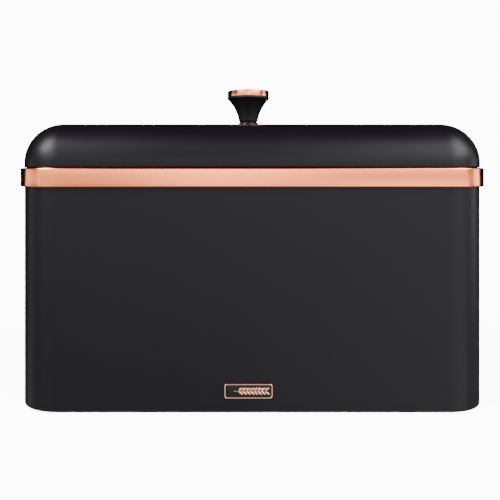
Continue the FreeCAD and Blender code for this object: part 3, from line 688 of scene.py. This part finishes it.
def ear_points(x, up, proud):
    """Badge coordinates to the bin's frame, standing on the enamel."""
    forward = enamel_face + np.clip(proud, -0.02 * MM, EAR_HEIGHT)
    return np.stack([x + badge_x, -forward, up + badge_z], 2)


def stem_points():
    """A bar along x whose ends close: its thickness follows the square root of 1 - t^8, t from -1 to 1."""
    t = np.linspace(-1, 1, 9)[:, None]
    a = np.linspace(0, 2 * math.pi, 12, endpoint=False)[None]
    close = np.sqrt(np.maximum(1 - t ** 8, 0))
    across, proud = STEM_WIDTH / 2 * close * np.cos(a), EAR_HEIGHT * 0.9 * close * np.sin(a)
    return ear_points(STEM_LENGTH / 2 * t + 0 * a, across, proud)


first_grain = STEM_LENGTH / 2 - STEM_WIDTH - (GRAIN_PAIRS - 1) * GRAIN_PITCH
ear_parts = []
for pair in range(GRAIN_PAIRS):
    for side in (-1, 1):
        shape = grain(first_grain + pair * GRAIN_PITCH, side * GRAIN_TILT)
        points = ear_points(*np.moveaxis(shape, 2, 0))
        ear_parts.append(grid_object("grain", points, rose_cast, report=False))
ear_parts.append(grid_object("stem", stem_points(), rose_cast, report=False))
with bpy.context.temp_override(active_object=ear_parts[0], selected_editable_objects=ear_parts):
    bpy.ops.object.join()
ear = ear_parts[0]
ear.name = "badge_ear"
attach(ear, "bin")
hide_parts("badge_wheat")
print("ear of wheat:", len(ear.data.polygons), "faces")

# %% [markdown]
# ## Lid
#
# The lid is one deep pressing. Its section rises from a hem, turns over a large shoulder and runs flat to
# the middle, where a low boss carries the knob. The shoulder is a quarter circle, and at the corners it
# becomes part of a ball. The section goes over the outside and comes back along the underside, so the lid
# has its real thickness when it is lifted off.

# %% Dome, hem and boss
BOSS_HEIGHT = 2.4 * MM
LID_TOP = BOSS_TOP - BOSS_HEIGHT
SHOULDER = 29.3 * MM
HEM_WIDTH = 1.8 * MM
HEM_RADIUS = 0.85 * MM
BOSS_BASE, BOSS_EDGE = 25.0 * MM, 13.0 * MM
HOLE_RADIUS = 2.7 * MM


def boss(radius):
    """Two arcs that meet halfway up, drawn here as a smooth step: 3 s^2 - 2 s^3."""
    s = np.clip((BOSS_BASE - radius) / (BOSS_BASE - BOSS_EDGE), 0, 1)
    return BOSS_HEIGHT * s * s * (3 - 2 * s)


def lid_plan(grow):
    """The bin's plan made larger by the lid's overhang and by grow."""
    grow = np.atleast_1d(grow) + LID_OVERHANG
    return plan(STATIONS, HALF_WIDTH + grow, HALF_DEPTH + grow, PLAN_RADIUS + grow)


def lid_face(drop):
    """The outside of the lid, or with a drop the underside, from the edge to the hole in the middle."""
    shoulder_radius = SHOULDER - drop
    turn = np.radians(np.linspace(0, 90, 31))
    grow = shoulder_radius * np.cos(turn) - SHOULDER
    height = LID_TOP - SHOULDER + shoulder_radius * np.sin(turn)
    edge = lid_plan(grow)
    rim = edge[-1]
    top = LID_TOP - drop
    ring = circles(BOSS_BASE * 1.15)[0]
    mixes = np.linspace(0, 1, 15)[1:]
    flat = rim[None] * (1 - mixes)[:, None, None] + ring[None] * mixes[:, None, None]
    radii = np.linspace(BOSS_BASE * 1.1, HOLE_RADIUS, 28)
    middle = circles(radii)
    return np.concatenate([
        stack(edge, height),
        stack(flat, np.full(len(flat), top)),
        stack(middle, top + boss(radii)),
    ])


hem_top = LID_BASE + 6.0 * MM
hem_section = np.array([
    (-SHEET, hem_top + 1.2 * MM), (-SHEET, hem_top), (-HEM_WIDTH, hem_top),
    *[(-HEM_WIDTH, z) for z in np.linspace(hem_top, LID_BASE + HEM_RADIUS, 5)[1:-1]],
    *arc(-HEM_WIDTH + HEM_RADIUS, LID_BASE + HEM_RADIUS, HEM_RADIUS, 180, 270, 8),
    *arc(-HEM_RADIUS, LID_BASE + HEM_RADIUS, HEM_RADIUS, 270, 360, 8),
])
hem_grid = stack(lid_plan(hem_section[:, 0]), hem_section[:, 1])
outside = lid_face(0.0)
underside = lid_face(SHEET)[::-1]
lid_dome = grid_object("lid_dome", np.concatenate([hem_grid, outside, underside]), coat, wrap_rows=True)
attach(lid_dome, "lid")
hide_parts("lid_shell")

# %% [markdown]
# A strip inside the lid's hem drops into the mouth of the bin and keeps the lid in its place. Its lower
# edge is cut back on the outside, so that it finds its way in. It is a small section carried round the plan.

# %% Locating ring inside the lid
RING_CUT = 0.45 * MM
ring_low, ring_high = span("lid_locating_ring")
ring_out = ring_high[0] - HALF_WIDTH
ring_section = rounded([
    (ring_out - RING_CUT, ring_low[2], 0.1 * MM), (ring_out, ring_low[2] + RING_CUT, 0.2 * MM),
    (ring_out, ring_high[2], 0.1 * MM), (ring_out - SHEET, ring_high[2], 0.1 * MM),
    (ring_out - SHEET, ring_low[2], 0.1 * MM),
], steps=5)
ring = grid_object("locating_ring", round_the_bin(STATIONS, ring_section), coat, wrap_rows=True)
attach(ring, "lid")
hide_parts("lid_locating_ring")

# %% [markdown]
# ## Knob
#
# The knob is three turned pieces in a stack: a domed black collar, a black grip that flares like a trumpet,
# and a rose-gold disc in the top. They are turned from sections, because a lathe is how such a knob is made.

# %% An arc between two points
def leaning_arc(start, stop, radius, bend, steps):
    """An arc of a given radius between two points. bend is 1 where it bulges to the right of the way from
    start to stop, and -1 to the left."""
    start, stop = np.array(start), np.array(stop)
    chord = stop - start
    left = np.array([-chord[1], chord[0]]) / np.linalg.norm(chord)
    reach = math.sqrt(radius ** 2 - (np.linalg.norm(chord) / 2) ** 2)
    centre = (start + stop) / 2 + left * reach * bend
    a0 = math.atan2(*(start - centre)[::-1])
    a1 = math.atan2(*(stop - centre)[::-1])
    turn = (a1 - a0 + math.pi) % (2 * math.pi) - math.pi
    a = a0 + np.linspace(0, turn, steps)
    return centre + radius * np.stack([np.cos(a), np.sin(a)], 1)

# %% Collar
collar_low, collar_high = span("knob_collar")
COLLAR_BORE, COLLAR_RADIUS, COLLAR_NECK = 2.7 * MM, 9.4 * MM, 7.0 * MM
COLLAR_EDGE = 0.7 * MM
DOME_RADIUS = 7.0 * MM
c0, c1 = collar_low[2], collar_high[2]
dome_start = (COLLAR_RADIUS, c0 + COLLAR_EDGE)
collar_section = np.concatenate([
    rounded([(COLLAR_BORE, c0, 0), (COLLAR_RADIUS, c0, 0.15 * MM), (*dome_start, 0)], closed=False)[:-1],
    leaning_arc(dome_start, (COLLAR_NECK, c1), DOME_RADIUS, 1, 16),
    [(COLLAR_BORE, c1)],
])
collar = turned("collar", collar_section, coat)
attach(collar, "lid")
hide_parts("knob_collar")

# %% Grip
grip_low, grip_high = span("knob_grip")
GRIP_BORE, GRIP_FOOT, GRIP_RADIUS = 3.55 * MM, 8.05 * MM, 18.05 * MM
GRIP_LIP = 1.4 * MM  # upright edge above the flare
GRIP_CHAMFER = 0.5 * MM
FLARE_RADIUS = 35.0 * MM
SEAT_RADIUS, SEAT_DEPTH = 15.0 * MM, 1.6 * MM  # recess that takes the cap
g0, g1 = grip_low[2], grip_high[2]
flare = leaning_arc((GRIP_FOOT, g0 + GRIP_CHAMFER), (GRIP_RADIUS, g1 - GRIP_LIP), FLARE_RADIUS, -1, 40)
foot_edge = rounded([
    (GRIP_BORE, g0, 0), (GRIP_FOOT - GRIP_CHAMFER, g0, 0.2 * MM), (GRIP_FOOT, g0 + GRIP_CHAMFER, 0),
], closed=False)
lip = rounded([
    (*flare[-2], 0), (GRIP_RADIUS, g1 - GRIP_LIP, 0.4 * MM), (GRIP_RADIUS, g1 - GRIP_CHAMFER, 0.2 * MM),
    (GRIP_RADIUS - GRIP_CHAMFER, g1, 0.2 * MM), (SEAT_RADIUS, g1, 0.1 * MM),
    (SEAT_RADIUS, g1 - SEAT_DEPTH, 0), (0, g1 - SEAT_DEPTH, 0),
], closed=False)
grip = turned("grip", np.concatenate([[(GRIP_BORE, g0)], foot_edge[1:-1], flare[:-1], lip[1:]]), grip_black)
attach(grip, "lid")
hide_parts("knob_grip")

# %% Cap
cap_low, cap_high = span("knob_cap")
PLUG_RADIUS, CAP_RADIUS = 14.95 * MM, 17.8 * MM
CROWN_EDGE, CROWN_RISE = 17.1 * MM, 0.55 * MM
CROWN_RADIUS = 292.0 * MM  # the top is very slightly domed
k0, k1 = cap_low[2], cap_high[2]
crown = leaning_arc((CROWN_EDGE, k1 - CROWN_RISE), (0, k1), CROWN_RADIUS, 1, 14)
disc = rounded([
    (0, k0, 0), (PLUG_RADIUS, k0, 0.1 * MM), (PLUG_RADIUS, g1, 0), (CAP_RADIUS, g1, 0.25 * MM),
    (CAP_RADIUS, k1 - 0.5 * MM, 0.6 * MM), (*crown[0], 0),
], closed=False)
cap = turned("cap", np.concatenate([[(0, k0)], disc[1:-1], crown]), rose_turned)
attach(cap, "lid")
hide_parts("knob_cap")

# %% [markdown]
# ## CAD pieces that stay
#
# The wire in the rim, the joiner and rivets of the band, the badge's tape and the knob's fixings have their
# right shape in the CAD model already, so they only get a finish.

# %% Finishes for the CAD nodes
def finish_node(name, material):
    """Gives a CAD node its material and leaves its mesh alone."""
    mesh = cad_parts[name].data
    mesh.materials.clear()
    mesh.materials.append(material)


for cad_node, material in (
    ("rim_wire", zinc), ("band_joiner", zinc), ("band_rivets", zinc), ("badge_pad", foam),
    ("knob_insert", brass), ("knob_washer", zinc), ("knob_screw", zinc),
):
    finish_node(cad_node, material)
    print(cad_node, "gets", material.name)

# %% [markdown]
# ## Light
#
# The look of satin black and of plated metal is mostly what they reflect. The studio is bright in front and
# at the sides, and dark overhead and behind, so the metal turns black where it curves away and the lid
# keeps a dark top edge. Thin bright strips level with the trim band light it without greying the walls.
# Soft panels higher up, and a soft box at each side, give the broad highlights on the shoulders of the lid.
# The background is pale for the camera only.

# %% Studio surroundings
def math_node(tree, operation, *values):
    """A math node's output. Each value is a number or another node's output."""
    made = node(tree, "ShaderNodeMath", operation=operation)
    for slot, value in zip(made.inputs, values):
        if isinstance(value, (int, float)):
            slot.default_value = value
        else:
            tree.links.new(value, slot)
    return made.outputs["Value"]


def soft_window(tree, value, middle, half, soft):
    """1 where a value lies within half of the middle, falling to 0 over the soft edge. In radians here,
    in degrees in the call."""
    away = math_node(tree, "ABSOLUTE", math_node(tree, "SUBTRACT", value, math.radians(middle)))
    return spread(tree, away, 1.0, 0.0, math.radians(half), math.radians(half + soft))


# Each panel: azimuth from straight in front to the right, elevation, half width, half height and soft edge,
# all in degrees, and then its radiance.
PANELS = {
    "front_strip": (0, -1, 60, 3.5, 3, 1.5),
    "front_glow": (0, 0, 2, 9, 8, 2),
    "cap_strip": (0, 8, 60, 3, 3, 3),
    "side_strip_left": (-104, 0, 44, 3, 2, 1.7),
    "side_strip_right": (104, 0, 44, 3, 2, 1.2),
    "right_low": (40, -14, 28, 8, 6, 2.5),
    "right_high": (40, 18, 28, 6, 6, 3.5),
    "left_low": (-40, -14, 22, 8, 6, 0.7),
    "left_high": (-45, 18, 25, 6, 6, 1),
    "floor_bounce": (0, -40, 70, 15, 10, 0.5),
    "upper_left": (-38, 35, 12, 14, 9, 9),
    "upper_right": (38, 35, 12, 14, 9, 12),
    "soft_box_left": (-60, 44, 11, 12, 7, 36),
    "soft_box_right": (65, 38, 13, 15, 7, 16),
    "far_left": (-110, 5, 20, 25, 10, 0.5),
    "far_right": (110, 12, 20, 14, 10, 2.5),
}
EVEN_BELOW = -0.4  # z at which the even light from below is full
DARK_LEAN = 0.5  # how much height counts towards the dark part
DARK_FROM, DARK_TO = 0.28, 0.36


def studio_world(above, below, panels, backdrop):
    """Surroundings by direction: a little even light, soft panels added to it, and nothing from behind and
    overhead, where y + z x the lean passes the dark limits."""
    world = bpy.data.worlds.new("studio")
    world.use_nodes = True
    tree = world.node_tree
    tree.nodes.clear()
    way = node(tree, "ShaderNodeTexCoord")
    split = node(tree, "ShaderNodeSeparateXYZ")
    tree.links.new(way.outputs["Generated"], split.inputs["Vector"])
    x, y, z = (split.outputs[axis] for axis in "XYZ")
    azimuth = math_node(tree, "ARCTAN2", x, math_node(tree, "MULTIPLY", y, -1.0))
    elevation = math_node(tree, "ARCSINE", z)
    total = spread(tree, z, below, above, EVEN_BELOW, 0.0)
    for middle_a, middle_e, half_a, half_e, soft, radiance in panels.values():
        across = soft_window(tree, azimuth, middle_a, half_a, soft)
        upright = soft_window(tree, elevation, middle_e, half_e, soft)
        both = math_node(tree, "MULTIPLY", across, upright)
        total = math_node(tree, "MULTIPLY_ADD", both, radiance, total)
    over = math_node(tree, "MULTIPLY_ADD", z, DARK_LEAN, y)
    level = math_node(tree, "MULTIPLY", total, spread(tree, over, 1.0, 0.0, DARK_FROM, DARK_TO))
    lit = node(tree, "ShaderNodeBackground", Color=(1, 1, 1, 1))
    tree.links.new(level, lit.inputs["Strength"])
    seen = node(tree, "ShaderNodeBackground", Color=(1, 1, 1, 1), Strength=backdrop)
    path = node(tree, "ShaderNodeLightPath")
    choose = node(tree, "ShaderNodeMixShader")
    tree.links.new(path.outputs["Is Camera Ray"], choose.inputs[0])
    tree.links.new(lit.outputs[0], choose.inputs[1])
    tree.links.new(seen.outputs[0], choose.inputs[2])
    done = node(tree, "ShaderNodeOutputWorld")
    tree.links.new(choose.outputs[0], done.inputs["Surface"])
    bpy.context.scene.world = world


studio_world(above=0.02, below=0.6, panels=PANELS, backdrop=12.0)
print("light panels:", len(PANELS))

# %% [markdown]
# The bin stands on a plain pale plane. The panels already stand for all that the metal sees, so the plane is
# hidden from glossy and diffuse rays.

# %% Worktop
def worktop(size, brightness):
    """A pale matt plane. Light of its own keeps it as pale as the background."""
    material, tree, shader = new_material("pale_worktop", Roughness=0.9)
    shader.inputs["Base Color"].default_value = (0.85, 0.85, 0.85, 1)
    shader.inputs["Specular IOR Level"].default_value = 0.0
    shader.inputs["Emission Color"].default_value = (1, 1, 1, 1)
    shader.inputs["Emission Strength"].default_value = brightness
    half = size / 2
    corners = np.array([(-half, -half, 0), (half, -half, 0), (half, half, 0), (-half, half, 0)])
    uv = np.array([[(0, 0), (1, 0), (1, 1), (0, 1)]], float)
    plane = mesh_object("worktop", corners, np.array([[0, 1, 2, 3]]), uv, material)
    plane.visible_glossy = False
    plane.visible_diffuse = False


worktop(size=60.0, brightness=9.5)

# %% [markdown]
# ## Camera
#
# A normal lens, half a metre in front of the bin, a little to its left and level with the band. The camera
# isn't turned, so upright edges stay upright and the front stays square. The picture is shifted instead.

# %% Camera
CAMERA_LEFT, CAMERA_AWAY, CAMERA_UP = 0.0205, 0.499, 0.170  # from the bin's middle, front wall and hem
lens = bpy.data.cameras.new("camera")
lens.lens = 50.5
lens.sensor_width = 36.0
lens.shift_x = 0.051
lens.shift_y = -0.152
lens.clip_start, lens.clip_end = 0.01, 200.0
camera = bpy.data.objects.new("camera", lens)
camera.location = (-CAMERA_LEFT, -(HALF_DEPTH + CAMERA_AWAY), HEM_LEVEL + CAMERA_UP)
camera.rotation_euler = (math.pi / 2, 0.0, 0.0)
bpy.context.scene.collection.objects.link(camera)
bpy.context.scene.camera = camera
print("camera at", [round(v, 4) for v in camera.location])
